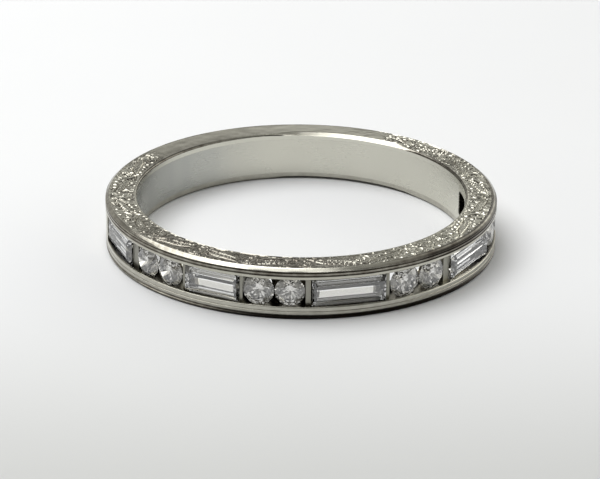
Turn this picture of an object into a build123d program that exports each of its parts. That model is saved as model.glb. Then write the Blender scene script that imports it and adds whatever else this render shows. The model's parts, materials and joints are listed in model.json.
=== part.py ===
from build123d import *
from math import cos, radians, sin, tan
import os

# Half-eternity wedding band in millimetres. The origin is the centre of the finger bore, +Z is the
# bore axis, and the middle of the stone row faces -Y. Angles along the row count from -Y towards +X.

# The hoop
bore_radius = 8.5
outer_radius = 10.1
band_width = 2.64
half_width = band_width / 2
base_thickness = 0.45
base_radius = bore_radius + base_thickness
bore_edge_radius = 0.12
side_thickness = 0.35

# The two rails: side walls whose lips reach over the stones
upper_rail_height = 0.575
lower_rail_height = 0.635
upper_rim_chamfer = 0.16
lower_rim_chamfer = 0.06
lip_radius = 0.04
# Turned lines around each rail: (start, end, depth), the first two as shares of the rail's
# height from its chamfer to its lip
upper_lines = ((0.04, 0.24, 0.055), (0.44, 0.62, 0.045))
lower_lines = ((0.12, 0.36, 0.05), (0.56, 0.65, 0.02))

channel_top = half_width - upper_rail_height
channel_bottom = lower_rail_height - half_width
channel_height = channel_top - channel_bottom
channel_middle = (channel_top + channel_bottom) / 2

# The stone row, from its -X end: each piece and the degrees of the hoop that it takes
row_start = -92.0
row = (
    ("baguette", 19.4),
    ("bar", 3.5),
    ("round", 9.8),
    ("round", 9.5),
    ("bar", 0.9),
    ("baguette", 17.6),
    ("bar", 1.0),
    ("round", 9.2),
    ("round", 8.8),
    ("bar", 1.6),
    ("baguette", 22.3),
    ("bar", 1.0),
    ("round", 9.8),
    ("round", 9.8),
    ("bar", 2.7),
    ("baguette", 21.9),
    ("bar", 1.4),
    ("round", 9.2),
    ("round", 9.2),
    ("bar", 1.4),
    ("baguette", 12.0),
)
stone_gap = 0.012
seat_clearance = 0.012
bar_inset = 0.3

# Round brilliant cut, as shares of its diameter
round_girdle_inset = 0.31
table_share = 0.56
crown_share = 0.15
girdle_share = 0.03
pavilion_share = 0.43
star_reach = 0.5
lower_half_reach = 0.77
star_angle = 22.0
main_facets = 8

# Step-cut baguette: its girdle width, and its outline as (inset from the girdle, height above it)
baguette_width = 1.5
baguette_girdle_inset = 0.4
baguette_girdle_height = 0.03
crown_steps = ((0.0, 0.0), (0.14, 0.15), (0.4, 0.25))
pavilion_steps = ((0.0, 0.0), (0.2, 0.26), (0.44, 0.46), (0.73, 0.6))
# The short ends are steeper: their insets as a share of the long sides'
end_inset_share = 0.45
# The open groove between each baguette's girdle and the lips: its depth into the lips and its inset
# from the outside of the hoop
groove_depth = 0.09
groove_inset = 0.12

# Openings pierced through the base band behind each stone
pierced_height = 1.34
pierced_share = 0.76
pierced_corner = 0.2
round_pierced_radius = 0.48


def radial_plane(angle, radius):
    """A plane whose normal points out of the hoop at that angle, with local x along the hoop and y up."""
    turn = radians(angle)
    out = Vector(sin(turn), -cos(turn), 0)
    along = Vector(cos(turn), sin(turn), 0)
    centre = out * radius + Vector(0, 0, channel_middle)
    return Plane(origin=centre, x_dir=along, z_dir=out)


def cut_by_points(solid, first, second, third):
    """Keep the part of a solid on the origin's side of the plane through three points."""
    normal = (Vector(*second) - Vector(*first)).cross(Vector(*third) - Vector(*first)).normalized()
    if normal.dot(Vector(*first)) < 0:
        normal = normal * -1
    return split(solid, bisect_by=Plane(origin=first, z_dir=normal), keep=Keep.BOTTOM)


def on_circle(radius, angle, height):
    turn = radians(angle)
    return (radius * cos(turn), radius * sin(turn), height)


def brilliant(diameter, grow=0.0):
    """A round brilliant with its girdle in the local XY plane and its table up, grown all over by grow."""
    radius = diameter / 2 + grow
    girdle = girdle_share * diameter / 2 + grow
    table = girdle + crown_share * diameter
    culet = -girdle - pavilion_share * diameter
    table_radius = table_share * diameter / 2 + grow
    eighth = 360 / main_facets
    quarter_turn = 90
    stone = Pos(0, 0, (table + culet) / 2) * Cylinder(radius, table - culet)
    table_apothem = table_radius * cos(radians(eighth / 2))
    star_radius = table_apothem + star_reach * (radius - table_apothem)
    star_drop = (star_radius - table_apothem) * tan(radians(star_angle))
    tip_radius = radius * (1 - lower_half_reach)
    tip_share = tip_radius * cos(radians(eighth / 2)) / radius
    tip_depth = culet + tip_share * (-girdle - culet)
    for step in range(main_facets):
        main = step * eighth
        corner = main + eighth / 2
        star_tip = on_circle(star_radius, corner, table - star_drop)
        lower_tip = on_circle(tip_radius, corner, tip_depth)
        crown_edge = on_circle(radius, main, girdle)
        # bezel facet, from the table's corner to the girdle
        across = on_circle(radius, main + quarter_turn, girdle)
        flat = (crown_edge[0] + across[0], crown_edge[1] + across[1], girdle)
        stone = cut_by_points(stone, on_circle(table_radius, main, table), crown_edge, flat)
        # pavilion main facet, from the girdle to the culet
        below = (crown_edge[0], crown_edge[1], -girdle)
        flat = (flat[0], flat[1], -girdle)
        stone = cut_by_points(stone, (0, 0, culet), below, flat)
        # star facet, from the table's edge to its tip
        stone = cut_by_points(
            stone,
            on_circle(table_radius, main, table),
            on_circle(table_radius, main + eighth, table),
            star_tip,
        )
        for side in (0, 1):
            outer = on_circle(radius, main + side * eighth, girdle)
            middle = on_circle(radius, corner, girdle)
            stone = cut_by_points(stone, outer, middle, star_tip)
            outer = (outer[0], outer[1], -girdle)
            middle = (middle[0], middle[1], -girdle)
            stone = cut_by_points(stone, outer, middle, lower_tip)
    return stone


def step_cut(length, width, grow=0.0):
    """A step-cut stone with its girdle in the local XY plane and its table up, grown all over by grow."""
    half_length = length / 2 + grow
    half_depth = width / 2 + grow
    girdle = baguette_girdle_height / 2 + grow
    top = girdle + crown_steps[-1][1]
    bottom = -girdle - pavilion_steps[-1][1]
    stone = Pos(0, 0, (top + bottom) / 2) * Box(2 * half_length, 2 * half_depth, top - bottom)
    for steps, side in ((crown_steps, 1), (pavilion_steps, -1)):
        for (inset, height), (next_inset, next_height) in zip(steps, steps[1:]):
            low, high = side * (girdle + height), side * (girdle + next_height)
            for sign in (-1, 1):
                x = sign * (half_length - end_inset_share * inset)
                next_x = sign * (half_length - end_inset_share * next_inset)
                y, next_y = sign * (half_depth - inset), sign * (half_depth - next_inset)
                stone = cut_by_points(stone, (x, 0, low), (x, 1, low), (next_x, 0, high))
                stone = cut_by_points(stone, (0, y, low), (1, y, low), (0, next_y, high))
    return stone


def washer(inner, outer, bottom, top):
    """A flat ring about the bore axis."""
    middle = Pos(0, 0, (bottom + top) / 2)
    return middle * (Cylinder(outer, top - bottom) - Cylinder(inner, top - bottom))


def rail(height, rim_chamfer, turned_lines):
    """A rail's solid for that height, with its side face up, its rim chamfered and its turned lines."""
    bottom = half_width - height
    flange = Rectangle(base_thickness, side_thickness, align=(Align.MIN, Align.MAX))
    wall = Rectangle(outer_radius - base_radius, height, align=(Align.MIN, Align.MAX))
    section = Pos(bore_radius, half_width) * flange + Pos(base_radius, half_width) * wall
    bore_edge = section.vertices().sort_by_distance((bore_radius, half_width, 0))[0]
    section = fillet(bore_edge, bore_edge_radius)
    rim = section.vertices().sort_by_distance((outer_radius, half_width, 0))[0]
    section = chamfer(rim, rim_chamfer)
    lip = section.vertices().sort_by_distance((outer_radius, bottom, 0))[0]
    section = fillet(lip, lip_radius)
    for start, end, depth in turned_lines:
        below_chamfer = height - rim_chamfer
        line_width = (end - start) * below_chamfer
        tool = (line_width**2 / 4 + depth**2) / (2 * depth)
        level = half_width - rim_chamfer - (start + end) / 2 * below_chamfer
        section -= Pos(outer_radius + tool - depth, level) * Circle(tool)
    return revolve(Plane.XZ * section, axis=Axis.Z)


def stone_length(share, girdle_radius):
    """How long a stone is that fills its share of the row at that girdle radius."""
    return 2 * girdle_radius * sin(radians(share / 2)) - 2 * stone_gap


def pierced_opening(kind, angle, length):
    """The cutter for the opening behind one stone."""
    if kind == "round":
        outline = Circle(round_pierced_radius)
    else:
        outline = RectangleRounded(pierced_share * length, pierced_height, pierced_corner)
    through = base_radius - bore_radius + 2 * base_thickness
    return extrude(radial_plane(angle, bore_radius - base_thickness) * outline, through)


def lip_groove(angle, length):
    """The cutter for the open groove between a baguette's girdle and the lips."""
    girdle_radius = outer_radius - baguette_girdle_inset
    bottom = channel_bottom - groove_depth
    top = channel_top + groove_depth
    block = Box(length, band_width, outer_radius, align=(Align.CENTER, Align.CENTER, Align.MIN))
    ring = washer(girdle_radius, outer_radius - groove_inset, bottom, top)
    return (radial_plane(angle, girdle_radius).location * block) & ring


def cross_bar(angle, share):
    """A bar across the channel that fills its share of the row."""
    thickness = stone_length(share, outer_radius - baguette_girdle_inset)
    top = outer_radius - bar_inset
    plate = Box(thickness, channel_height, top, align=(Align.CENTER, Align.CENTER, Align.MIN))
    ring = washer(base_radius, top, channel_bottom, channel_top)
    return (radial_plane(angle, 0).location * plate) & ring


def back_fill(start, end):
    """The solid strip, under half a turn long, that closes the channel behind the stone row."""
    strip = washer(base_radius, outer_radius, channel_bottom, channel_top)
    for angle, keep in ((start, Keep.TOP), (end, Keep.BOTTOM)):
        turn = radians(angle)
        along = Vector(cos(turn), sin(turn), 0)
        strip = split(strip, bisect_by=Plane(origin=(0, 0, 0), z_dir=along), keep=keep)
    return strip


nodes = {}
seats = []
grooves = []
openings = []
counts = {"baguette": 0, "bar": 0, "round": 0}
angle = row_start
for kind, share in row:
    counts[kind] += 1
    name = f"{kind}_{counts[kind]}"
    middle = angle + share / 2
    angle += share
    if kind == "bar":
        nodes[name] = cross_bar(middle, share)
        continue
    if kind == "round":
        girdle_radius = outer_radius - round_girdle_inset
        size = stone_length(share, girdle_radius)
        stone = brilliant(size)
        seat = brilliant(size, seat_clearance)
    else:
        girdle_radius = outer_radius - baguette_girdle_inset
        size = stone_length(share, girdle_radius)
        stone = step_cut(size, baguette_width)
        seat = step_cut(size, baguette_width, seat_clearance)
        grooves.append(lip_groove(middle, size))
    place = radial_plane(middle, girdle_radius).location
    nodes[name] = place * stone
    seats.append(place * seat)
    openings.append(pierced_opening(kind, middle, size))
row_end = angle

nodes["base_band"] = washer(
    bore_radius, base_radius, side_thickness - half_width, half_width - side_thickness
)
for opening in openings:
    nodes["base_band"] -= opening
nodes["back_shank"] = back_fill(row_end, row_start + 360)
nodes["upper_rail"] = rail(upper_rail_height, upper_rim_chamfer, upper_lines)
lower_rail = rail(lower_rail_height, lower_rim_chamfer, lower_lines)
nodes["lower_rail"] = mirror(lower_rail, about=Plane.XY)
for cutter in seats + grooves:
    nodes["upper_rail"] -= cutter
    nodes["lower_rail"] -= cutter

os.makedirs("parts", exist_ok=True)
for name, shape in nodes.items():
    export_step(shape, f"parts/{name}.step")
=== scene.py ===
import json
import math

import bpy
import numpy as np
from mathutils import Matrix, Vector


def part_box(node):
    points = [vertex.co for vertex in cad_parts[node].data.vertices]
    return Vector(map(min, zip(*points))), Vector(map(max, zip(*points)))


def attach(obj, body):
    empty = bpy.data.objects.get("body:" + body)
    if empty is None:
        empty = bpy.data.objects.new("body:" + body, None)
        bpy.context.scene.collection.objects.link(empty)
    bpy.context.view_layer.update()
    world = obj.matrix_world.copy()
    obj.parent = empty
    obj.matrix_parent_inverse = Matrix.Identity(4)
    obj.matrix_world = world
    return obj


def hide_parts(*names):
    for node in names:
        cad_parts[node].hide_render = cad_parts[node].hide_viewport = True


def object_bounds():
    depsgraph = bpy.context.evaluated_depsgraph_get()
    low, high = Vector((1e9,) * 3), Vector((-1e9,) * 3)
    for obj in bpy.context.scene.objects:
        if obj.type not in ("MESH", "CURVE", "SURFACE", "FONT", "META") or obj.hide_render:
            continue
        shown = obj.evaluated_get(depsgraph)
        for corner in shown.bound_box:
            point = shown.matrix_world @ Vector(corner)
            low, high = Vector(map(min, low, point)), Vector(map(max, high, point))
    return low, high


MM = 0.001
SEED = 7

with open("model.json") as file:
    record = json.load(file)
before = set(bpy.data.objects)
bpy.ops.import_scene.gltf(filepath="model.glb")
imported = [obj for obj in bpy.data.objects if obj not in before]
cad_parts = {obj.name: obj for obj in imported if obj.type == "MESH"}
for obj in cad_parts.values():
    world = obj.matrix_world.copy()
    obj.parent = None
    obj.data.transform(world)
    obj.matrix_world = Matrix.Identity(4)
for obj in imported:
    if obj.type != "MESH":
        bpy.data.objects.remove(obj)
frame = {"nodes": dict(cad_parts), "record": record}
cad_low, cad_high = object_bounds()

# ---- sizes read from the frame, in metres ----
band_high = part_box("base_band")[1]
upper_low, upper_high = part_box("upper_rail")
lower_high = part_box("lower_rail")[1]
OUTER = upper_high.x
HALF_WIDTH = upper_high.z
BASE_OUTER = band_high.x
FLANGE_LEVEL = band_high.z
CHANNEL_TOP = upper_low.z
CHANNEL_BOTTOM = lower_high.z
CHANNEL_MIDDLE = (CHANNEL_TOP + CHANNEL_BOTTOM) / 2
BORE = next(m for m in frame["record"]["mounts"] if m["name"] == "finger_bore")["dims"]["r_mm"] * MM

# ---- the rail's section, in metres ----
BORE_EDGE = 0.12 * MM
# the rim's chamfer as (inwards, downwards)
UPPER_RIM = (0.17 * MM, 0.145 * MM)
LOWER_RIM = (0.06 * MM, 0.06 * MM)
RIM_SOFTNESS = 0.008 * MM
LIP_ROUND = 0.05 * MM
# turned lines as (start, end, depth), the first two as shares of the height from chamfer to lip
UPPER_LINES = ((0.02, 0.25, 0.06 * MM), (0.43, 0.63, 0.05 * MM))
LOWER_LINES = ((0.12, 0.34, 0.05 * MM), (0.56, 0.65, 0.018 * MM))
# the open groove between each baguette's girdle and the lips
GROOVE_DEPTH = 0.09 * MM
GROOVE_INSET = 0.12 * MM
SEAT_CLEARANCE = 0.015 * MM
# the piece with the bore keeps its metal colour this far outwards from it, and beyond is painted black as
# the shadow behind the stones
UNSHADOWED_DEPTH = 0.05 * MM
FACE_IN = BORE + BORE_EDGE
FACE_OUT = OUTER - UPPER_RIM[0]
FACE_MIDDLE = (FACE_IN + FACE_OUT) / 2

# a seat's insets from the outside where no stone sits, in millimetres
PLAIN_SEAT = (0.15, 0.3, 0.4, 0.6)
# how far from the girdle a round seat is upright, and where it starts to open
ROUND_UPRIGHT = 0.03 * MM
ROUND_START = 0.04 * MM
# how far a baguette's seat reaches outwards and inwards from the girdle
BAGUETTE_ABOVE = 0.03 * MM
BAGUETTE_BELOW = 0.02 * MM
# how far a round seat opens outwards, and each seat inwards, for its depth in the rail
ROUND_OPENING = 0.8
ROUND_TAPER = 0.9
BAGUETTE_TAPER = 1.5
# the lean of the seats' steps, which keeps their columns apart
STEP_LEAN = 0.003 * MM
# heights this close to the widest are the girdle's
GIRDLE_BAND = 0.001 * MM

# ---- how finely a rail is divided ----
FACE_COLUMNS = 30
LINE_COLUMNS = 9
LIP_COLUMNS = 6
EDGE_COLUMNS = 9
# columns down the chamfer and from the last line to the lip, as shares of the way
CHAMFER_SHARES = (0.3, 0.6, 0.9)
LIP_SHARES = (0.25, 0.6, 0.85)
# a column this far under the bore's edge keeps the bore flat beside it
EDGE_SUPPORT = 0.01 * MM
# rows run finely over this arc each side of the front, and coarsely across the back
FINE_ARC = math.radians(138)
FINE_ROWS = 1420
COARSE_ROWS = 150

# ---- hand work, wear and painted shade; an arc is (middle, half width), counted from -Y towards +X ----
# depth of the hand-finished face's unevenness, in millimetres
UNEVEN = 0.012
# how far the rim and the turned lines wander
RIM_WOBBLE = 0.012 * MM
LINE_WOBBLE = 0.006 * MM
# this near the lip, the lines' wandering turns into the rim's
LIP_FADE = 0.15 * MM
# how much shallower the engraving is in the middle of the shaded arc
WORN_ENGRAVING = 0.42
# the arc where the bore's edge is worn to a bevel, the share of it that is fully worn, and how much
# wider and deeper the edge is there
WORN_CENTRE = math.radians(149)
WORN_HALF = math.radians(31)
WORN_SHARE = 0.55
WORN_EXTRA = 0.25 * MM
WORN_DROP = 0.02 * MM
# the arc of the bore darkened with painted shade, and the share of it that is darkest
BORE_SHADE_MIDDLE = math.radians(-112)
BORE_SHADE_REACH = math.radians(74)
BORE_SHADE_SHARE = 0.3

# ---- darkening of the rails, painted shade with grimy metal: 0 is none, 1 is darkened all over, 2 is near black ----
# depth of a cut that is darkened all over, painted shade in the cut with grimy metal
CUT_DARKENING_DEPTH = 0.045 * MM
# arcs of the side faces: one less darkened, one darkened all over as painted shade, one darkened in patches
LIGHTER_ARC = (math.radians(55), math.radians(60))
LIGHTER_SHARE = 0.55
SHADED_ARC = (math.radians(-36), math.radians(60))
SHADED_SHARE = 0.95
BACK_PATCH_ARC = (math.radians(-150), math.radians(48))
BACK_PATCH_DARKENING = 0.75
# darkening at the foot of the chamfer, on the ridges, in the turned lines and on the lip: painted shade
# with grimy metal, the lower rail's foot near black as a painted contact shadow
UPPER_SHADE_AND_GRIME = (0.4, 1.0, 1.25, 0.35)
LOWER_SHADE_AND_GRIME = (2.0, 0.5, 0.6, 0.35)
# the outer side's first points, to the middle of the first line, which are at least as dark as the foot
FOOT_POINTS = 7
# the arc where the lines and the lower rail's chamfer are darkened past 1, near black on the chamfer as a
# painted contact shadow
BLACKENED_ARC = (math.radians(6), math.radians(82))
# the chamfer is darkened as painted shade except over one arc, where its highlight stays
RIM_HIGHLIGHT_ARC = (math.radians(-8), math.radians(44))
RIM_HIGHLIGHT_SHARE = 0.7
RIM_SHADE = 0.85
# near-black darkening beside the upper rim over one arc: on the face's last columns, on the chamfer's
# columns from the inside out, and in the turned lines, each as its darkening above 1
RIM_BLACKENED_ARC = (math.radians(50), math.radians(52))
FACE_BLACKENED_COLUMNS = 3
FACE_BLACKENED = 0.6
CHAMFER_BLACKENED = (0.6, 0.0, 0.75, 0.9)
LINE_BLACKENED = 0.85
# a point of the outer side this near the chamfer's foot counts as beside the rim
FOOT_REACH = 0.01 * MM
# painted shadow on the wall behind the lip, near black at both ends of the lower rail
WALL_SHADOW = 0.7
WALL_BLACK_SHADOW_ARCS = ((math.radians(66), math.radians(34)), (math.radians(-86), math.radians(34)))
WALL_BLACK_SHADOW = 2.0
# the arc where the lower rail's outer side is darkened all over
LOWER_END_ARC = (math.radians(82), math.radians(45))
LOWER_END_DARKENING = 0.9
# the bore's edge: painted contact shadow all round the lower rail, and painted shade over two arcs of the
# upper one
LOWER_BORE_SHADE = 0.45
EDGE_SHADE_ARCS = ((math.radians(100), math.radians(44)), (math.radians(-134), math.radians(46)))
EDGE_SHADE = 1.5
WORN_EDGE_DARKENING = 0.3
# the edge's first columns, which keep their painted shade where it is worn
EDGE_SHADE_COLUMNS = 2

# ---- the engraving, in millimetres: x along the rail, y across the face from its middle ----
SCROLL_PITCH = 5.6
ENGRAVING_SHIFT = 0.6
# the cutting fades out past this angle, most of it over the first fade and the rest over the second
CUT_REACH = math.radians(134)
CUT_FADES = ((0.82, 0.06), (0.18, 0.55))
CUT_VARIATION = 0.25
BEAD_PITCH = 0.4
BEAD_RISE = 0.05
GROUND_LEVEL = -0.04
# fans of cuts as (x as a share of the pitch, y, 1 at the inner edge and -1 at the outer)
FANS = ((0.02, -0.50, 1), (0.52, 0.50, -1))
FAN_OFFSET = 0.55
FAN_REACH = (0.06, 0.62)
FAN_RAY = 0.3
FAN_LEVEL = -0.008
FAN_DEPTH = 0.035
# curls as (side of the face, x as a share of the pitch, start angle as a share of a half turn)
CURLS = ((1, 0.25, 0.55), (-1, 0.75, 1.55))
CURL_RISE = 0.12
CURL_RADIUS = 0.42
CURL_TURNS = 1.1
CURL_WIDTH = 0.12
CURL_THINNING = 0.4
EYE_RADIUS = 0.13
EYE_RISE = 0.04
STROKE_CROWN = 0.018
STROKE_OUTLINE = 0.065
STROKE_OUTLINE_EXTRA = 0.02
# how far the outline reaches, in half widths of the stroke
STROKE_OUTLINE_REACH = 0.6
# leaves as (x as a share of the pitch, slope)
LEAVES = ((0.0, 1), (0.5, -1), (1.0, 1))
LEAF_HALF_LENGTH = 1.0
LEAF_WIDTH = 0.17
LEAF_LEAN = 0.42
LEAF_SWAY = 0.12
LEAF_SWAY_TURN = 2.2
LEAF_CROWN = 0.02
LEAF_VEIN = 0.04
LEAF_CUT_PITCH = 0.2
LEAF_CUT_SLANT = 0.9
LEAF_CUT_DEPTH = 0.02
LEAF_OUTLINE = (0.06, -0.07)
# the plain borders at the face's edges, where they end and where the cutting is whole
BORDER_IN = (0.01, 0.04)
BORDER_OUT = (0.09, 0.05)

# ---- the camera's view ----
CAMERA_AZIMUTH = math.radians(-13.8)
CAMERA_ELEVATION = math.radians(22.395)
CAMERA_DISTANCE = 12.87 * OUTER
CAMERA_LENS = 150.3
CAMERA_ROLL = math.radians(0.62)
AIM_BELOW = math.radians(0.583)
AIM_LEFT = math.radians(0.017)
AIM_HEIGHT = 0.045 * MM
SENSOR_WIDTH = 36.0
CLIP = (0.005, 10.0)

# ---- light: the room as (height of the direction, level), and the panels overhead in metres ----
ROOM_LEVELS = ((0.0, 0.46), (0.33, 0.72), (0.37, 0.63), (0.42, 0.24), (0.7, 0.16), (1.0, 0.12))
ROOM_TINT = (1.0, 0.99, 0.93)
# parts of the room as (azimuth from the camera's, elevation, cosines from its border to its middle,
# level in its middle)
DIM_PART = (math.radians(20), math.radians(15), (0.2, 0.85), 0.12)
FILL_PART = (math.radians(90), math.radians(25), (0.3, 0.9), 4.2)
PANEL_TINT = (1.0, 0.995, 0.985)
PANEL_HEIGHT = 0.28
# each as (left, right, near, far, radiance, turn about the vertical)
PANELS = {
    "key": (-0.27, 0.028, -0.02, 0.28, 3.66, math.radians(16)),
    "front_strip": (-0.26, 0.06, -0.12, -0.02, 1.5, 0.0),
}

# ---- looks: a pair of colours is the two ends of a mottled tone ----
METAL_DULL = (0.58, 0.57, 0.495)
METAL_BRIGHT = (0.67, 0.66, 0.583)
# painted shade in the metal's hollows, partly tarnished metal
HOLLOW_SHADE = ((0.17, 0.16, 0.12, 1), (0.25, 0.235, 0.18, 1))
# painted shade and grimy metal where the rails' darkening is up to 1
GRIME_AND_SHADE = ((0.125, 0.11, 0.095, 1), (0.19, 0.172, 0.14, 1))
# near black where the rails' darkening is above 1, mostly painted shadow
BLACK_DIRT_AND_SHADOW = (0.012, 0.01, 0.008, 1)
# painted shade on one arc of the bore
PAINTED_BORE_SHADE = (0.42, 0.425, 0.4, 1)
# painted black as the shadow on the band's wall behind the stones
BLACK_SHADOW_BEHIND_STONES = (0.035, 0.03, 0.022, 1)
FLOOR_HALF = 2.0
# the paper darker on the camera's side, as painted shade
PAPER_NEAR = ((0.57, 0.58, 0.575, 1), (0.59, 0.6, 0.595, 1))
PAPER_FAR = ((0.85, 0.862, 0.882, 1), (0.87, 0.882, 0.902, 1))
# the paper's painted shade fades out between these distances from the ring's middle, counted away from the
# camera
PAPER_TURN = (-0.035, -0.002)
CLEAR_DIAMOND = (1.0, 1.0, 1.0)
# the round stones' yellowish tint, darkened partly as painted shade
WARM_SHADED_DIAMOND = (0.84, 0.825, 0.795)
DIAMOND_IOR = 2.417
DIAMOND_CLOUD = 0.97
DIAMOND_HAZE = 0.02
# scales of the noise textures, from the coarsest to the finest
PAPER_SCALE = 60.0
BAND_SCALE = 330.0
SMUDGE_SCALE = 420.0
HAZE_SCALE = 900.0
DENT_SCALE = 1300.0
PATCH_SCALE = 2600.0
PIT_SCALE = 9000.0
HAIRLINE_STRETCH = (260.0, 5200.0, 5200.0)
BAND_STRETCH = (1.0, 0.2, 0.06)
BUMP_STRENGTH = 0.35
BUMP_DISTANCE = 0.004 * MM
# hard edges between faces that meet at more than this, in degrees
SHARP_DEGREES = 32

# ---------------------------------------------------------------- materials

class Nodes:
    """A short way to write a node tree."""

    def __init__(self, tree):
        self.tree = tree

    def add(self, kind, inputs=None, **settings):
        node = self.tree.nodes.new(kind)
        for key, value in settings.items():
            setattr(node, key, value)
        for key, value in (inputs or {}).items():
            self.set(node, key, value)
        return node

    def set(self, node, key, value):
        if isinstance(value, bpy.types.NodeSocket):
            self.tree.links.new(value, node.inputs[key])
        else:
            node.inputs[key].default_value = value

    def noise(self, scale, detail=3.0, vector=None, roughness=0.5):
        node = self.add("ShaderNodeTexNoise", {"Scale": scale, "Detail": detail, "Roughness": roughness})
        if vector is not None:
            self.set(node, "Vector", vector)
        return node.outputs["Fac"]

    def ramp(self, value, stops):
        node = self.add("ShaderNodeValToRGB", {"Fac": value})
        while len(node.color_ramp.elements) < len(stops):
            node.color_ramp.elements.new(0.5)
        for element, (position, colour) in zip(node.color_ramp.elements, stops):
            element.position = position
            element.color = colour if isinstance(colour, tuple) else (colour, colour, colour, 1)
        return node.outputs["Color"]

    def math(self, operation, first, second=0.0):
        node = self.add("ShaderNodeMath", {0: first, 1: second}, operation=operation)
        return node.outputs["Value"]

    def stretched(self, vector, factors):
        node = self.add("ShaderNodeVectorMath", {0: vector, 1: factors}, operation="MULTIPLY")
        return node.outputs["Vector"]

    def along(self, vector, direction):
        node = self.add("ShaderNodeVectorMath", {0: vector, 1: direction}, operation="DOT_PRODUCT")
        return node.outputs["Value"]

    def map_range(self, value, source, target=(0.0, 1.0), interpolation="LINEAR"):
        inputs = {"Value": value}
        for word, pair in (("From", source), ("To", target)):
            inputs[word + " Min"], inputs[word + " Max"] = pair
        node = self.add("ShaderNodeMapRange", inputs, interpolation_type=interpolation)
        return node.outputs["Result"]

    def mix_colour(self, share, first, second):
        node = self.add("ShaderNodeMix", data_type="RGBA")
        self.set(node, 0, share)
        self.set(node, 6, first)
        self.set(node, 7, second)
        return node.outputs[2]


def new_material(name):
    """A material with its nodes and its shader."""
    material = bpy.data.materials.new(name)
    material.use_nodes = True
    nodes = Nodes(material.node_tree)
    return material, nodes, material.node_tree.nodes["Principled BSDF"]


def object_position(nodes):
    return nodes.add("ShaderNodeTexCoord").outputs["Object"]


def hoop_coordinates(nodes, position):
    """(arc round the bore, radius, height) as one vector, so that a texture can run round the hoop."""
    parts = nodes.add("ShaderNodeSeparateXYZ", {"Vector": position}).outputs
    angle = nodes.math("ARCTAN2", parts["X"], nodes.math("MULTIPLY", parts["Y"], -1.0))
    flat = nodes.add("ShaderNodeCombineXYZ", {"X": parts["X"], "Y": parts["Y"]})
    radius = nodes.add("ShaderNodeVectorMath", {0: flat.outputs["Vector"]}, operation="LENGTH")
    hoop = {
        "X": nodes.math("MULTIPLY", angle, OUTER),
        "Y": radius.outputs["Value"],
        "Z": parts["Z"],
    }
    return nodes.add("ShaderNodeCombineXYZ", hoop).outputs["Vector"]


def metal_colour(nodes, smudge, band, hollow_reach, shade_and_tarnish, tint):
    """Streaked metal, darker where other surfaces are close: painted shade in its hollows, partly tarnished
    metal.
    """
    hollow = nodes.add("ShaderNodeAmbientOcclusion", {"Distance": hollow_reach * MM}, samples=6)
    shade = nodes.ramp(hollow.outputs["AO"], ((0.25, 0.0), (0.85, 1.0)))
    streak = nodes.math("MULTIPLY", nodes.math("ADD", smudge, band), 0.5)
    dull = tuple(tint * level for level in METAL_DULL) + (1,)
    bright = tuple(tint * level for level in METAL_BRIGHT) + (1,)
    clean = nodes.mix_colour(streak, dull, bright)
    tone = nodes.mix_colour(shade, nodes.mix_colour(smudge, *HOLLOW_SHADE), clean)
    return nodes.mix_colour(shade_and_tarnish, clean, tone)


def soiled_colour(nodes, colour, smudge, position):
    """Painted shade and grimy metal where the mesh's darkening attribute is above 0, and near black above
    1, mostly painted shadow.
    """
    soil = nodes.add("ShaderNodeAttribute", attribute_name="soil").outputs["Fac"]
    patchy = nodes.ramp(nodes.noise(PATCH_SCALE, 3.0, position), ((0.3, 0.55), (0.7, 1.0)))
    some = nodes.math("MULTIPLY", nodes.math("MINIMUM", soil, 1.0), patchy)
    grimy_and_shaded = nodes.mix_colour(some, colour, nodes.mix_colour(smudge, *GRIME_AND_SHADE))
    blackened = nodes.math("MAXIMUM", nodes.math("SUBTRACT", soil, 1.0), 0.0)
    return nodes.mix_colour(blackened, grimy_and_shaded, BLACK_DIRT_AND_SHADOW)


def inside_colour(nodes, colour, band, hoop, position, inside_level):
    """The bore, darkened over one arc by painted shade, and beyond inside_level painted black as the shadow
    on the wall behind the stones.
    """
    middle = (math.sin(BORE_SHADE_MIDDLE), -math.cos(BORE_SHADE_MIDDLE), 0.0)
    reach = (BORE * math.cos(BORE_SHADE_REACH), BORE * math.cos(BORE_SHADE_SHARE * BORE_SHADE_REACH))
    shade_amount = nodes.map_range(nodes.along(position, middle), reach, interpolation="SMOOTHSTEP")
    shade_amount = nodes.math("MULTIPLY", shade_amount, nodes.math("ADD", band, 0.42))
    shaded_wall = nodes.mix_colour(shade_amount, colour, PAINTED_BORE_SHADE)
    distance = nodes.add("ShaderNodeSeparateXYZ", {"Vector": hoop}).outputs["Y"]
    # painted black as shadow beyond inside_level
    deep = nodes.math("GREATER_THAN", distance, inside_level)
    return nodes.mix_colour(deep, shaded_wall, BLACK_SHADOW_BEHIND_STONES)


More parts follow.
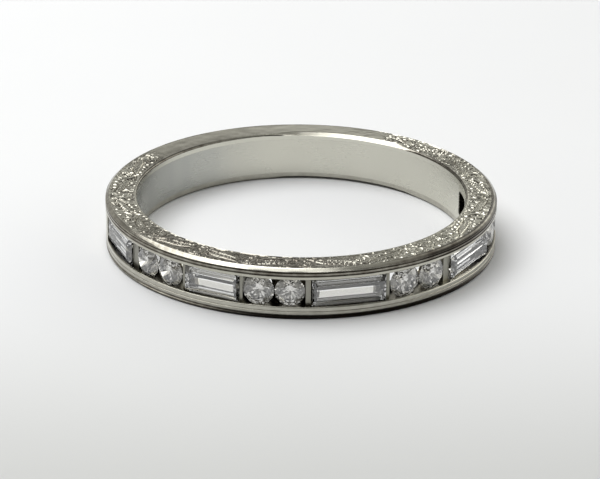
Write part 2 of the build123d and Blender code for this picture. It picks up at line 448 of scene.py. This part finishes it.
def platinum(name, roughness, scratch=1.0, shade_and_tarnish=1.0, **options):
    """Polished platinum with hairlines round the hoop, smudges, pits, and painted shade in its hollows,
    partly tarnished metal.

    options are hollow_reach in millimetres, tint, a flag for a mesh with a darkening attribute of painted
    shade and grimy metal, and inside_level, a radius in metres, for the piece with the bore.
    """
    material, nodes, shader = new_material(name)
    position = object_position(nodes)
    hoop = hoop_coordinates(nodes, position)
    hairline = nodes.noise(3.0, 4.0, nodes.stretched(hoop, HAIRLINE_STRETCH), 0.65)
    smudge = nodes.noise(SMUDGE_SCALE, 3.0, position)
    band = nodes.noise(BAND_SCALE, 2.0, nodes.stretched(hoop, BAND_STRETCH))
    hollow_reach = options.get("hollow_reach", 0.16)
    colour = metal_colour(nodes, smudge, band, hollow_reach, shade_and_tarnish, options.get("tint", 1.0))
    if options.get("soiled"):
        colour = soiled_colour(nodes, colour, smudge, position)
    if "inside_level" in options:
        colour = inside_colour(nodes, colour, band, hoop, position, options["inside_level"])
    nodes.set(shader, "Base Color", colour)
    nodes.set(shader, "Metallic", 1.0)
    gloss = nodes.math("ADD", nodes.math("MULTIPLY", smudge, 0.14), roughness - 0.07)
    gloss = nodes.math("ADD", gloss, nodes.math("MULTIPLY", hairline, 0.08))
    nodes.set(shader, "Roughness", gloss)
    pits = nodes.math("MULTIPLY", nodes.noise(PIT_SCALE, 2.0, position), 0.25)
    height = nodes.math("ADD", nodes.math("MULTIPLY", hairline, scratch), pits)
    dents = nodes.math("MULTIPLY", nodes.noise(DENT_SCALE, 1.0, position), 2.5)
    height = nodes.math("ADD", height, dents)
    relief = {"Height": height, "Strength": BUMP_STRENGTH, "Distance": BUMP_DISTANCE}
    nodes.set(shader, "Normal", nodes.add("ShaderNodeBump", relief).outputs["Normal"])
    return material


def diamond(name, clarity):
    """Diamond with a faint haze of handling on its facets, tinted down by its clarity."""
    material, nodes, shader = new_material(name)
    haze = nodes.noise(HAZE_SCALE, 3.0, object_position(nodes))
    cloudy = tuple(DIAMOND_CLOUD * level for level in clarity) + (1,)
    nodes.set(shader, "Base Color", nodes.ramp(haze, ((0.3, cloudy), (0.7, clarity + (1,)))))
    nodes.set(shader, "Roughness", nodes.math("MULTIPLY", haze, DIAMOND_HAZE))
    nodes.set(shader, "IOR", DIAMOND_IOR)
    nodes.set(shader, "Transmission Weight", 1.0)
    return material


def paper(name):
    """The pale ground, with painted shade darkening it on the camera's side of the ring."""
    material, nodes, shader = new_material(name)
    position = object_position(nodes)
    cloud = nodes.noise(PAPER_SCALE, 3.0, position)
    away = nodes.along(position, -view_direction(0, 0))
    depth = nodes.map_range(away, PAPER_TURN, interpolation="SMOOTHSTEP")
    near = nodes.mix_colour(cloud, *PAPER_NEAR)
    far = nodes.mix_colour(cloud, *PAPER_FAR)
    nodes.set(shader, "Base Color", nodes.mix_colour(depth, near, far))
    nodes.set(shader, "Roughness", 0.7)
    nodes.set(shader, "Specular IOR Level", 0.2)
    return material


# ---------------------------------------------------------------- engraved rails

def rail_angles():
    """Angles of a rail's rows."""
    return np.concatenate((
        np.linspace(-FINE_ARC, FINE_ARC, FINE_ROWS, endpoint=False),
        np.linspace(FINE_ARC, 2 * math.pi - FINE_ARC, COARSE_ROWS, endpoint=False),
    ))


def centred(angles, middle):
    """Angles counted from a middle one, between half a turn each way."""
    return (angles - middle + math.pi) % (2 * math.pi) - math.pi


def round_seat(x, half_length, level):
    """Where a round stone's seat is, its four radii and its depths in the rail."""
    half = (CHANNEL_TOP - CHANNEL_BOTTOM) / 2
    reach = np.sqrt(np.maximum(half_length**2 - x**2, 0)) - half
    radii = (
        level + ROUND_START + ROUND_OPENING * reach,
        level + ROUND_UPRIGHT + 0 * x,
        level - ROUND_UPRIGHT + 0 * x,
        level - ROUND_START - ROUND_TAPER * reach,
    )
    return (np.abs(x) < half_length) & (reach > 0), radii, (reach, reach)


def baguette_seat(x, half_length, level, flat, half_width):
    """Where a baguette's seat and its groove are, their four radii and their depths in the rail."""
    half = (CHANNEL_TOP - CHANNEL_BOTTOM) / 2
    reach = half_width + SEAT_CLEARANCE - half
    ones = np.ones(len(x))
    radii = (
        (OUTER - GROOVE_INSET) * ones,
        (level + BAGUETTE_ABOVE) * flat,
        (level - BAGUETTE_BELOW) * flat,
        (level - BAGUETTE_BELOW - BAGUETTE_TAPER * reach) * flat,
    )
    return np.abs(x) < half_length, radii, (GROOVE_DEPTH * ones, reach * ones)


def stone_seat(name, stone, angles):
    """A stone's seat in a rail's inner side: where it is, its four radii and its two depths."""
    co = np.array([v.co for v in stone.data.vertices])
    centre = co.mean(axis=0)
    turn = math.atan2(centre[0], -centre[1])
    out = np.array((math.sin(turn), -math.cos(turn), 0))
    spread = co @ np.array((math.cos(turn), math.sin(turn), 0))
    middle = (spread.max() + spread.min()) / 2
    half_length = (spread.max() - spread.min()) / 2 + SEAT_CLEARANCE
    height = np.abs(co[:, 2] - CHANNEL_MIDDLE)
    level = (co @ out)[height > height.max() - GIRDLE_BAND].mean()
    near = np.clip(centred(angles, turn), -0.5, 0.5)
    x = level * np.tan(near) - middle
    if name.startswith("round"):
        return round_seat(x, half_length, level)
    return baguette_seat(x, half_length, level, 1 / np.cos(near), height.max())


def stone_seats(angles):
    """A rail's inner side at each angle: four radii and two depths, in metres."""
    count = len(angles)
    radii = np.full((4, count), OUTER) - np.array(PLAIN_SEAT)[:, None] * MM
    depths = np.zeros((2, count))
    for name, stone in frame["nodes"].items():
        if not name.startswith(("round", "baguette")):
            continue
        inside, stone_radii, stone_depths = stone_seat(name, stone, angles)
        radii[:, inside] = np.array(stone_radii)[:, inside]
        depths[:, inside] = np.array(stone_depths)[:, inside]
    return radii, depths


def smooth_step(x, low, high):
    t = np.clip((x - low) / (high - low), 0, 1)
    return t * t * (3 - 2 * t)


def curve_distance(x, y, path):
    """Distance from each point to a path, and how far along the path the nearest sample is, from 0 to 1."""
    best = np.full(x.shape, 1e9)
    place = np.zeros(x.shape)
    last = len(path) - 1
    for k, (px, py) in enumerate(path):
        d = (x - px) ** 2 + (y - py) ** 2
        nearer = d < best
        best = np.where(nearer, d, best)
        place = np.where(nearer, k / last, place)
    return np.sqrt(best), place


def cell_key(column, row):
    """A different number for each cell of a grid."""
    return column * 127.1 + row * 311.7


def scatter(key):
    """A repeatable number from 0 to 1 for each key."""
    return np.modf(np.abs(np.sin(key) * 43758.5453))[0]


def value_noise(x, y):
    """Smooth blobs from 0 to 1, about one to each unit cell."""
    column, row = np.floor(x), np.floor(y)
    u, v = x - column, y - row
    u, v = u * u * (3 - 2 * u), v * v * (3 - 2 * v)

    def corner(across, up):
        return scatter(cell_key(column + across, row + up) + 0.5)

    low = corner(0, 0) * (1 - u) + corner(1, 0) * u
    high = corner(0, 1) * (1 - u) + corner(1, 1) * u
    return low * (1 - v) + high * v


def spiral(centre, radius, start, turns, sense, samples=46):
    """A curl that winds in towards its eye."""
    points = []
    for k in range(samples):
        t = k / (samples - 1)
        angle = start + sense * 2 * math.pi * turns * t
        r = radius * (1 - 0.84 * t) ** 0.9
        points.append((centre[0] + r * math.cos(angle), centre[1] + r * math.sin(angle)))
    return points


def dome(share):
    """The height of a round dome from 1 at share 0 to 0 at share 1."""
    return np.sqrt(np.clip(1 - share**2, 0, 1))


def repeated(x, offset):
    """A wave from 1 at whole numbers to 0 halfway between. offset is whole and keeps x + offset above 0."""
    return np.abs(np.modf(x + offset)[0] - 0.5) * 2


def punched_ground(x, y):
    """Small raised beads with pits between them."""
    row_pitch = BEAD_PITCH * 0.87
    row = np.round(y / row_pitch)
    shift = np.where(row % 2 == 0, 0.0, 0.5 * BEAD_PITCH)
    column = np.round((x - shift) / BEAD_PITCH)
    key = cell_key(column, row)
    dx = x - (column * BEAD_PITCH + shift + (scatter(key) - 0.5) * 0.4 * BEAD_PITCH)
    dy = y - (row * row_pitch + (scatter(key * 1.7 + 3.1) - 0.5) * 0.4 * BEAD_PITCH)
    size = 0.7 + 0.5 * scatter(key * 0.37 + 1.3)
    near = np.sqrt(dx**2 + dy**2) / (0.5 * BEAD_PITCH * size)
    return GROUND_LEVEL + BEAD_RISE * size * dome(near)


def raised_stroke(height, distance, width):
    """A rounded stroke standing in a cut outline."""
    near = distance / width
    ridge = -STROKE_CROWN + STROKE_CROWN * dome(near)
    reach = 1 + STROKE_OUTLINE_REACH
    outline = -STROKE_OUTLINE * np.clip(reach - near, 0, STROKE_OUTLINE_REACH) / STROKE_OUTLINE_REACH
    lowered = np.minimum(height, outline - STROKE_OUTLINE_EXTRA)
    height = np.where((near >= 1) & (near < reach), lowered, height)
    return np.where(near < 1, ridge, height)


def leaf(height, x, y, centre_x, slope):
    """A long leaf lying across the face, with a vein and slanting cuts."""
    lean = slope * LEAF_LEAN
    u = (x - centre_x) * math.cos(lean) + y * math.sin(lean)
    v = -(x - centre_x) * math.sin(lean) + y * math.cos(lean)
    v = v + LEAF_SWAY * slope * np.sin(u * LEAF_SWAY_TURN)
    width = LEAF_WIDTH * dome(u / LEAF_HALF_LENGTH) + 1e-3
    beside = np.abs(v)
    within = np.abs(u) < LEAF_HALF_LENGTH
    crown = -LEAF_CROWN + LEAF_CROWN * dome(v / width)
    vein = -LEAF_VEIN * np.clip(1 - beside / LEAF_VEIN, 0, 1)
    cut = repeated((u + LEAF_CUT_SLANT * beside) / LEAF_CUT_PITCH, 60)
    crown = crown - LEAF_CUT_DEPTH * np.clip(1 - cut / 0.5, 0, 1)
    height = np.where((beside < width) & within, crown + vein, height)
    outline_width, outline_level = LEAF_OUTLINE
    outline = (beside >= width) & (beside < width + outline_width) & within
    return np.where(outline, outline_level, height)


def scroll_relief(x, y):
    """Height of the cut pattern, in millimetres, over points x along one repeat and y across the face."""
    height = punched_ground(x, y)
    # fans of bright cuts from the edges of the face
    for share, centre_y, face in FANS:
        fx = x - share * SCROLL_PITCH - FAN_OFFSET * face
        fy = y - centre_y
        distance = np.sqrt(fx**2 + fy**2)
        ray = repeated(np.arctan2(fy, fx) / FAN_RAY, 50)
        fan = (distance < FAN_REACH[1]) & (distance > FAN_REACH[0])
        height = np.where(fan, FAN_LEVEL - FAN_DEPTH * (1 - ray), height)
    # curls, each with a bead at its eye
    for side, share, half_turns in CURLS:
        centre = (share * SCROLL_PITCH, -side * CURL_RISE)
        path = spiral(centre, CURL_RADIUS, math.pi * half_turns, CURL_TURNS, -side)
        distance, along = curve_distance(x, y, path)
        height = raised_stroke(height, distance, CURL_WIDTH * (1 - CURL_THINNING * along))
        eye = np.sqrt((x - centre[0]) ** 2 + (y - centre[1]) ** 2) / EYE_RADIUS
        height = np.where(eye < 1, -EYE_RISE + EYE_RISE * dome(eye), height)
    for share, slope in LEAVES:
        height = leaf(height, x, y, share * SCROLL_PITCH, slope)
    return np.minimum(height, 0)


def window(angles, middle, half):
    """1 at an angle, falling smoothly to 0 at half away from it."""
    return 1 - smooth_step(np.abs(centred(angles, middle)), 0.35 * half, half)


def engraving(angles, radii, side):
    """The cutting in the side face at each angle and radius: its height in metres, and its darkening by
    painted shade and grimy metal.
    """
    a, r = np.meshgrid(angles, radii, indexing="ij")
    x = a * FACE_MIDDLE / MM + ENGRAVING_SHIFT
    y = (r - FACE_MIDDLE) / MM
    relief = scroll_relief(np.mod(x, SCROLL_PITCH), y)
    # each cut is a little deeper or shallower than its neighbours
    relief *= 1 + CUT_VARIATION * np.sin(a * 17.3 + 1.1) * np.sin(a * 41.7 + y * 3 + side)
    away = np.abs(a)
    fade = sum(share * (1 - smooth_step(away, CUT_REACH, CUT_REACH + over)) for share, over in CUT_FADES)
    relief = relief * fade * (1 - WORN_ENGRAVING * window(a, *SHADED_ARC))
    # darker in the deeper cuts as painted shade with grimy metal, less so over one arc, and darkened all
    # over one arc at the front as painted shade
    soil = np.clip(-relief * MM / CUT_DARKENING_DEPTH, 0, 1) * (1 - LIGHTER_SHARE * window(a, *LIGHTER_ARC))
    soil = np.maximum(soil, SHADED_SHARE * window(a, *SHADED_ARC))
    low, high = y.min(), y.max()
    border_in = smooth_step(y, low + BORDER_IN[0], low + BORDER_IN[1])
    border_out = 1 - smooth_step(y, high - BORDER_OUT[0], high - BORDER_OUT[1])
    uneven = value_noise(x / 0.75, y / 0.5) + 0.5 * value_noise(x / 0.33 + 5, y / 0.3)
    # the darkening at the back is in patches, with more of it towards the bore
    inner = np.clip((high - y) / (high - low), 0, 1)
    patches = 0.5 * value_noise(x / 0.9 + 40, y / 0.4) + 0.8 * inner
    soil = np.maximum(soil, BACK_PATCH_DARKENING * patches * window(a, *BACK_PATCH_ARC))
    relief = relief * border_in * border_out - UNEVEN * uneven
    return relief * MM, soil


def outer_profile(height, rim_drop, lines, darkening_levels):
    """The rail's outer side from the chamfer's foot to the lip.

    Each point is (radius, depth below the side face, darkening), the first two in metres. The last argument
    is the darkening at the foot, on the ridges, in the lines and on the lip: painted shade with grimy
    metal.
    """
    foot, ridge, groove, lip = darkening_levels
    free = height - rim_drop
    line_start = rim_drop + 0.8 * free * lines[0][0]
    points = [(OUTER, rim_drop, foot), (OUTER, line_start, foot)]
    for start, end, depth in lines:
        for k in range(LINE_COLUMNS):
            t = k / (LINE_COLUMNS - 1)
            level = rim_drop + free * (start + (end - start) * t)
            bulge = math.sin(math.pi * t) ** 0.7
            dirt_and_shade = ridge + (groove - ridge) * bulge
            if len(points) < FOOT_POINTS:
                dirt_and_shade = max(dirt_and_shade, foot)
            points.append((OUTER - depth * bulge, level, dirt_and_shade))
    last = lines[-1][1]
    for share in LIP_SHARES:
        level = rim_drop + free * (last + (1 - last) * share) - LIP_ROUND * share
        points.append((OUTER, level, lip))
    for k in range(LIP_COLUMNS):
        turn = math.pi / 2 * k / (LIP_COLUMNS - 1)
        inset = LIP_ROUND * (1 - math.cos(turn))
        points.append((OUTER - inset, height - LIP_ROUND * (1 - math.sin(turn)), lip))
    return points


def hand_wobble(angles, seed, size):
    """A slow unevenness round the hoop, as hand finishing leaves it."""
    rng = np.random.default_rng(seed)
    total = np.zeros(len(angles))
    for number in (3, 5, 9, 14, 23, 37):
        total += rng.uniform(0.3, 1.0) * np.sin(number * angles + rng.uniform(0, 6.28))
    return total / 3 * size


def worn_back(angles):
    """How far the bore's edge is worn to a bevel at each angle, from 0 to 1."""
    offset = np.abs(centred(angles, WORN_CENTRE))
    return 1 - smooth_step(offset, WORN_SHARE * WORN_HALF, WORN_HALF)


class Rail:
    """A rail as columns of points round the hoop, each (radius, depth below the side face, darkening by
    painted shade and grimy metal).

    Angles run round the bore from -Y towards +X. side is 1 for the upper rail and -1 for the lower.
    """

    def __init__(self, side, height, rim_cut, lines, darkening_levels):
        self.side = side
        self.height = height
        self.rim_in, self.rim_drop = rim_cut
        self.lines = lines
        self.darkening_levels = darkening_levels
        self.angles = rail_angles()
        self.columns = []
        self.worn = worn_back(self.angles)
        self.edge = BORE_EDGE + WORN_EXTRA * self.worn
        self.edge_drop = BORE_EDGE + WORN_DROP * self.worn
        self.rim_wobble = hand_wobble(self.angles, SEED + side, RIM_WOBBLE)
        self.line_wobble = hand_wobble(self.angles, SEED + 5 + side, LINE_WOBBLE)
        self.rim_blackened = window(self.angles, *RIM_BLACKENED_ARC)

    def add(self, radius, depth, soil):
        shape = self.angles.shape
        self.columns.append([np.broadcast_to(value, shape) for value in (radius, depth, soil)])

    def add_face(self):
        """The engraved side face, from the bore's edge to the chamfer."""
        face_out = OUTER - self.rim_in
        radii = np.linspace(FACE_IN, face_out, FACE_COLUMNS)
        relief, soil = engraving(self.angles, radii, self.side)
        # near black beside the upper rim over one arc
        if self.side > 0:
            blackened = self.rim_blackened[:, None] * (1 + FACE_BLACKENED)
            beside = slice(-FACE_BLACKENED_COLUMNS, None)
            soil[:, beside] = np.maximum(soil[:, beside], blackened)
        for k, radius in enumerate(radii[:-1]):
            share = (face_out - radius) / (face_out - FACE_IN)
            self.add(radius + (self.edge - BORE_EDGE) * share, -relief[:, k], soil[:, k])
        self.add(face_out - RIM_SOFTNESS, 0.0, soil[:, -1])

    def chamfer_darkening(self):
        # the upper chamfer darkened as painted shade outside its highlight arc, near black beside the rim
        # over one arc; the lower chamfer near black over one arc as a painted contact shadow
        if self.side > 0:
            soil = RIM_SHADE * (1 - RIM_HIGHLIGHT_SHARE * window(self.angles, *RIM_HIGHLIGHT_ARC))
            return [np.maximum(soil, self.rim_blackened * (1 + share)) for share in CHAMFER_BLACKENED]
        soil = 1 + (self.darkening_levels[0] - 1) * window(self.angles, *BLACKENED_ARC)
        return [soil] * len(CHAMFER_BLACKENED)

    def add_chamfer(self):
        """The chamfer, with a softened edge to the face."""
        face_out = OUTER - self.rim_in
        first, *rest = self.chamfer_darkening()
        self.add(face_out + RIM_SOFTNESS * 0.4, RIM_SOFTNESS * 0.45, first)
        for share, soil in zip(CHAMFER_SHARES, rest):
            depth = self.rim_drop * share + self.rim_wobble * share
            self.add(face_out + self.rim_in * share, depth, soil)

    def add_outer_side(self):
        """The turned lines and the lip."""
        # the turned lines and the lip darkened by painted shade with grimy metal, near black over one arc,
        # where the lower rail's foot is a painted contact shadow
        blackened = window(self.angles, *BLACKENED_ARC)
        lower_end = LOWER_END_DARKENING * window(self.angles, *LOWER_END_ARC)
        for radius, depth, dirt_and_shade in outer_profile(self.height, self.rim_drop, self.lines, self.darkening_levels):
            fade = min(1.0, (self.height - depth) / LIP_FADE)
            wobble = self.rim_wobble * (1 - fade) + self.line_wobble * fade
            soil = min(dirt_and_shade, 1) + max(dirt_and_shade - 1, 0) * blackened
            beside_rim = dirt_and_shade > 1 or depth < self.rim_drop + FOOT_REACH
            if self.side > 0 and beside_rim:
                soil = np.maximum(soil, self.rim_blackened * (1 + LINE_BLACKENED))
            if self.side < 0:
                soil = np.maximum(soil, lower_end)
            self.add(radius, depth + wobble * (depth < self.height - LIP_ROUND), soil)

    def add_wall(self):
        """The wall behind the lip, with the stones' seats."""
        # painted shadow on the wall behind the lip and in the seats, near black at both ends of the lower
        # rail
        soil = WALL_SHADOW
        if self.side < 0:
            for arc in WALL_BLACK_SHADOW_ARCS:
                soil = np.maximum(soil, WALL_BLACK_SHADOW * window(self.angles, *arc))
        radii, depths = stone_seats(self.angles)
        steps = self.height - depths
        self.add(radii[0], self.height, soil)
        self.add(radii[0] - STEP_LEAN, steps[0], soil)
        self.add(radii[1], steps[0], soil)
        self.add(radii[1] - STEP_LEAN, steps[1], soil)
        self.add(radii[2], steps[1], soil)
        self.add(radii[3], self.height, soil)
        self.add(BASE_OUTER, self.height, soil)

    def add_bore(self):
        """The seat on the band's flange, the bore and its edge, which is round or worn to a bevel."""
        flange = HALF_WIDTH - FLANGE_LEVEL
        # painted contact shadow on the lower rail's bore, and painted shade on the upper rail's edge over
        # two arcs, less where it is worn
        bore_shade = 0.0 if self.side > 0 else LOWER_BORE_SHADE
        self.add(BASE_OUTER, flange, bore_shade)
        self.add(BORE, flange, bore_shade)
        self.add(BORE, self.edge_drop + EDGE_SUPPORT, bore_shade)
        edge_shade = EDGE_SHADE * sum(window(self.angles, *arc) for arc in EDGE_SHADE_ARCS)
        worn_edge_darkening = edge_shade * (1 - self.worn) + WORN_EDGE_DARKENING * self.worn
        for k in range(EDGE_COLUMNS):
            turn = math.pi / 2 * k / EDGE_COLUMNS
            out = (1 - self.worn) * (1 - math.cos(turn)) + self.worn * k / EDGE_COLUMNS
            down = (1 - self.worn) * (1 - math.sin(turn)) + self.worn * (1 - k / EDGE_COLUMNS)
            soil = edge_shade if k < EDGE_SHADE_COLUMNS else worn_edge_darkening
            if self.side < 0:
                soil = LOWER_BORE_SHADE
            self.add(BORE + self.edge * out, self.edge_drop * down, soil)

    def build(self, name):
        """The columns joined into one closed piece."""
        radius, depth, soil = np.array(self.columns).transpose(1, 2, 0)
        angles = self.angles[:, None]
        parts = (radius * np.sin(angles), -radius * np.cos(angles), self.side * (HALF_WIDTH - depth))
        co = np.stack(parts, axis=-1)
        count, rows = radius.shape
        i, j = np.meshgrid(np.arange(count), np.arange(rows), indexing="ij")
        after, beside = (i + 1) % count, (j + 1) % rows
        corners = (i * rows + j, i * rows + beside, after * rows + beside, after * rows + j)
        quads = np.stack(corners, axis=-1)
        if self.side > 0:
            quads = quads[..., ::-1]
        mesh = bpy.data.meshes.new(name)
        mesh.from_pydata(co.reshape(-1, 3).tolist(), [], quads.reshape(-1, 4).tolist())
        attribute = mesh.attributes.new("soil", "FLOAT", "POINT")
        attribute.data.foreach_set("value", soil.astype(np.float32).ravel())
        mesh.shade_smooth()
        piece = bpy.data.objects.new(name, mesh)
        bpy.context.scene.collection.objects.link(piece)
        return piece


def engraved_rail(name, side, height, rim_cut, lines, darkening_levels):
    """One engraved rail as a closed mesh."""
    rail = Rail(side, height, rim_cut, lines, darkening_levels)
    rail.add_face()
    rail.add_chamfer()
    rail.add_outer_side()
    rail.add_wall()
    rail.add_bore()
    return rail.build(name)


def sharpen(piece, degrees):
    """Keep edges crisp where faces meet at more than that angle."""
    piece.data.set_sharp_from_angle(angle=math.radians(degrees))


# ---------------------------------------------------------------- stage, light and camera

def make_floor():
    """A wide sheet of paper under the ring."""
    mesh = bpy.data.meshes.new("floor")
    size = FLOOR_HALF
    corners = [(-size, -size), (size, -size), (size, size), (-size, size)]
    mesh.from_pydata([(x, y, cad_low.z) for x, y in corners], [], [(0, 1, 2, 3)])
    floor = bpy.data.objects.new("floor", mesh)
    bpy.context.scene.collection.objects.link(floor)
    floor.data.materials.append(paper("pale_paper"))


def room_part(nodes, direction, part):
    """A factor of 1 that turns into the part's level in the middle of the part."""
    azimuth, elevation, border, level = part
    near = nodes.along(direction, view_direction(azimuth, elevation))
    return nodes.map_range(near, border, (1.0, level))


def make_world():
    """A room palest a third of the way up, dark overhead, dim behind the camera and bright to its right."""
    world = bpy.data.worlds.new("room")
    bpy.context.scene.world = world
    world.use_nodes = True
    world.node_tree.nodes.clear()
    nodes = Nodes(world.node_tree)
    direction = nodes.add("ShaderNodeTexCoord").outputs["Generated"]
    height = nodes.add("ShaderNodeSeparateXYZ", {"Vector": direction}).outputs["Z"]
    stops = [(place, tuple(level * tint for tint in ROOM_TINT) + (1,)) for place, level in ROOM_LEVELS]
    room = nodes.ramp(height, stops)
    dim = room_part(nodes, direction, DIM_PART)
    fill = room_part(nodes, direction, FILL_PART)
    inputs = {0: room, "Scale": nodes.math("MULTIPLY", dim, fill)}
    shaded = nodes.add("ShaderNodeVectorMath", inputs, operation="SCALE")
    background = nodes.add("ShaderNodeBackground", {"Color": shaded.outputs["Vector"]})
    nodes.add("ShaderNodeOutputWorld", {"Surface": background.outputs["Background"]})


def view_direction(azimuth, elevation):
    """The unit vector towards an azimuth, counted from the camera's, and an elevation."""
    turn = CAMERA_AZIMUTH + azimuth
    flat = math.cos(elevation)
    return Vector((math.sin(turn) * flat, -math.cos(turn) * flat, math.sin(elevation)))


def make_panels():
    """Flat soft boxes above the ring, mostly to the camera's left."""
    for name, (left, right, near, far, radiance, turn) in PANELS.items():
        data = bpy.data.lights.new(name, "AREA")
        data.shape = "RECTANGLE"
        data.size, data.size_y = right - left, far - near
        data.energy = radiance * math.pi * data.size * data.size_y
        data.color = PANEL_TINT
        panel = bpy.data.objects.new(name, data)
        middle = Vector(((left + right) / 2, (near + far) / 2, PANEL_HEIGHT))
        rotation = Matrix.Rotation(CAMERA_AZIMUTH + turn, 4, "Z")
        panel.matrix_world = rotation @ Matrix.Translation(middle)
        bpy.context.scene.collection.objects.link(panel)


def make_camera():
    data = bpy.data.cameras.new("camera")
    data.lens = CAMERA_LENS
    data.sensor_width = SENSOR_WIDTH
    data.clip_start, data.clip_end = CLIP
    camera = bpy.data.objects.new("camera", data)
    bpy.context.scene.collection.objects.link(camera)
    back = view_direction(0, CAMERA_ELEVATION)
    aim = Vector((0, 0, AIM_HEIGHT))
    turn = (-back).to_track_quat("-Z", "Y").to_matrix().to_4x4()
    turn = turn @ Matrix.Rotation(AIM_LEFT, 4, "Y") @ Matrix.Rotation(-AIM_BELOW, 4, "X")
    turn = turn @ Matrix.Rotation(CAMERA_ROLL, 4, "Z")
    camera.matrix_world = Matrix.Translation(aim + back * CAMERA_DISTANCE) @ turn
    bpy.context.scene.camera = camera


# ---------------------------------------------------------------- the ring

def dress(node, material):
    data = frame["nodes"][node].data
    data.materials.clear()
    data.materials.append(material)


def make_ring():
    """The engraved rails over their plain ones, and the looks of every piece."""
    # the rails' darkening attribute paints shade, with grimy metal, on their metal
    engraved = platinum("engraved_platinum", 0.17, scratch=0.6, soiled=True)
    polished = platinum("polished_platinum", 0.2, shade_and_tarnish=0.6)
    inner = platinum("inner_platinum", 0.22, inside_level=BORE + UNSHADOWED_DEPTH)
    # the bars' metal at half brightness, with a wider reach of hollow darkening, as painted shade
    recessed = platinum("recessed_platinum", 0.28, hollow_reach=0.5, tint=0.5)
    clear = diamond("clear_diamond", CLEAR_DIAMOND)
    # round stones tinted yellowish and darker, partly as painted shade
    warm_shaded = diamond("warm_shaded_diamond", WARM_SHADED_DIAMOND)
    upper_height = HALF_WIDTH - CHANNEL_TOP
    lower_height = HALF_WIDTH + CHANNEL_BOTTOM
    upper = engraved_rail("engraved_upper_rail", 1, upper_height, UPPER_RIM, UPPER_LINES, UPPER_SHADE_AND_GRIME)
    lower = engraved_rail("engraved_lower_rail", -1, lower_height, LOWER_RIM, LOWER_LINES, LOWER_SHADE_AND_GRIME)
    for piece, node in ((upper, "upper_rail"), (lower, "lower_rail")):
        sharpen(piece, SHARP_DEGREES)
        piece.data.materials.append(engraved)
        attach(piece, "root")
        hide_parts(node)
    for node in frame["nodes"]:
        if node.startswith("baguette"):
            dress(node, clear)
        elif node.startswith("round"):
            dress(node, warm_shaded)
        elif node.startswith("bar"):
            dress(node, recessed)
        elif node == "base_band":
            dress(node, inner)
        elif node == "back_shank":
            dress(node, polished)


make_floor()
make_world()
make_panels()
make_camera()
make_ring()
bpy.context.scene.view_settings.view_transform = "Standard"
bpy.context.scene.cycles.max_bounces = 20
bpy.context.scene.cycles.transmission_bounces = 20
bpy.context.scene.cycles.glossy_bounces = 8
